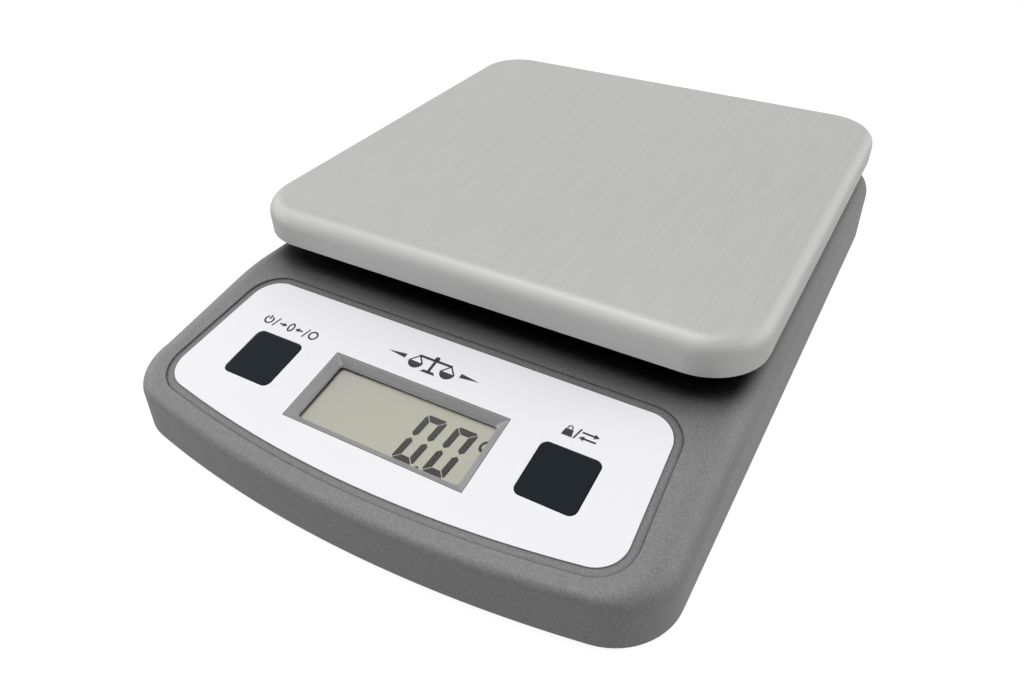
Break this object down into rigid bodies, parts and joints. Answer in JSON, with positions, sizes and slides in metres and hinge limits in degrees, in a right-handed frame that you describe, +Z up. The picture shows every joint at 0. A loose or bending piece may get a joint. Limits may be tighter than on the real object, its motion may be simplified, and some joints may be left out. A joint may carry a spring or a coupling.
{
  "type": "digital portion scale",
  "caption": "Compact digital bench scale: grey shell with sloped two-key display panel, load cell and lift-off brushed steel platter.",
  "frame": {"origin": "on the rest plane, under the middle of the shell's outline", "axes": "+Z up from the rest plane, +Y from the control panel to the rear, +X to the right seen from the panel"},
  "size_m": [0.1676, 0.237, 0.0485],
  "materials": {
    "shell_grey": "fine moulded texture, metallic grey",
    "base_black": "fine moulded texture",
    "label_white": "satin printed film",
    "bezel_grey": "fine grain",
    "window_clear": "clear, polished",
    "lcd_glass": "grey-green reflective display",
    "holder_white": "plain moulded",
    "strip_rubber": "layered conductive rubber",
    "board_green": "solder resist over glass fibre",
    "chip_black": "moulded package",
    "component_tan": "mixed small parts",
    "key_black": "smooth, slightly glossy",
    "plunger_grey": "plain moulded",
    "screw_steel": "zinc plated",
    "beam_aluminium": "milled",
    "sealant_white": "soft silicone coat",
    "cable_grey": "smooth sleeve",
    "plate_steel": "plated sheet",
    "support_black": "plain moulded",
    "pad_rubber": "soft",
    "platter_steel": "brushed front to back, bright bent edge",
    "battery_wrap": "plain printed can",
    "snap_black": "plain moulded",
    "wire_red": "smooth insulation",
    "foot_rubber": "matt"
  },
  "bodies": {
    "housing": {"top_housing": "shell_grey", "bottom_cover": "base_black", "control_label": "label_white", "display_bezel": "bezel_grey", "display_window": "window_clear", "lcd_panel": "lcd_glass", "lcd_holder": "holder_white", "elastomer_connector": "strip_rubber", "main_board": "board_green", "controller_chip": "chip_black", "board_components": "component_tan", "key_switches": "snap_black", "board_screws": "screw_steel", "load_cell": "beam_aluminium", "gauge_coating": "sealant_white", "load_cell_cable": "cable_grey", "lower_spacer": "plate_steel", "lower_cell_screws": "screw_steel", "stiffening_plate": "plate_steel", "overload_stop": "screw_steel", "stop_nut": "screw_steel", "battery": "battery_wrap", "battery_snap": "snap_black", "battery_wires": "wire_red", "housing_screws": "screw_steel", "rubber_feet": "foot_rubber"},
    "platform": {"platform_support": "support_black", "upper_spacer": "plate_steel", "upper_cell_screws": "screw_steel", "platter_pads": "pad_rubber"},
    "platter": {"weighing_platter": "platter_steel"},
    "tare_button": {"tare_key": "key_black"},
    "tare_stem": {"tare_plunger": "plunger_grey"},
    "unit_button": {"unit_key": "key_black"},
    "unit_stem": {"unit_plunger": "plunger_grey"},
    "door": {"battery_door": "base_black"}
  },
  "joints": [
    {"name": "platform_load", "type": "slide", "parent": "housing", "child": "platform", "axis": [0, 0, -1], "range_m": [0, 0.0006], "stiffness_N_per_m": 98000, "deforming": ["load_cell"]},
    {"name": "platter_lift", "type": "slide", "parent": "platform", "child": "platter", "axis": [0, 0, 1], "range_m": [0, 0.06]},
    {"name": "tare_key_press", "type": "slide", "parent": "housing", "child": "tare_button", "axis": [0, 0.184, -0.9829], "range_m": [0, 0.00035], "stiffness_N_per_m": 300, "springref_m": -0.005},
    {"name": "tare_plunger_travel", "type": "slide", "parent": "housing", "child": "tare_stem", "axis": [0, 0.184, -0.9829], "range_m": [0, 0.00035]},
    {"name": "unit_key_press", "type": "slide", "parent": "housing", "child": "unit_button", "axis": [0, 0.184, -0.9829], "range_m": [0, 0.00035], "stiffness_N_per_m": 300, "springref_m": -0.005},
    {"name": "unit_plunger_travel", "type": "slide", "parent": "housing", "child": "unit_stem", "axis": [0, 0.184, -0.9829], "range_m": [0, 0.00035]},
    {"name": "battery_door_open", "type": "hinge", "parent": "housing", "child": "door", "pos_m": [-0.0275, 0.08, 0.0042], "axis": [0, 1, 0], "range_deg": [0, 85]}
  ],
  "couplings": [
    {"joint": "tare_plunger_travel", "follows": "tare_key_press", "ratio": 1},
    {"joint": "unit_plunger_travel", "follows": "unit_key_press", "ratio": 1}
  ]
}
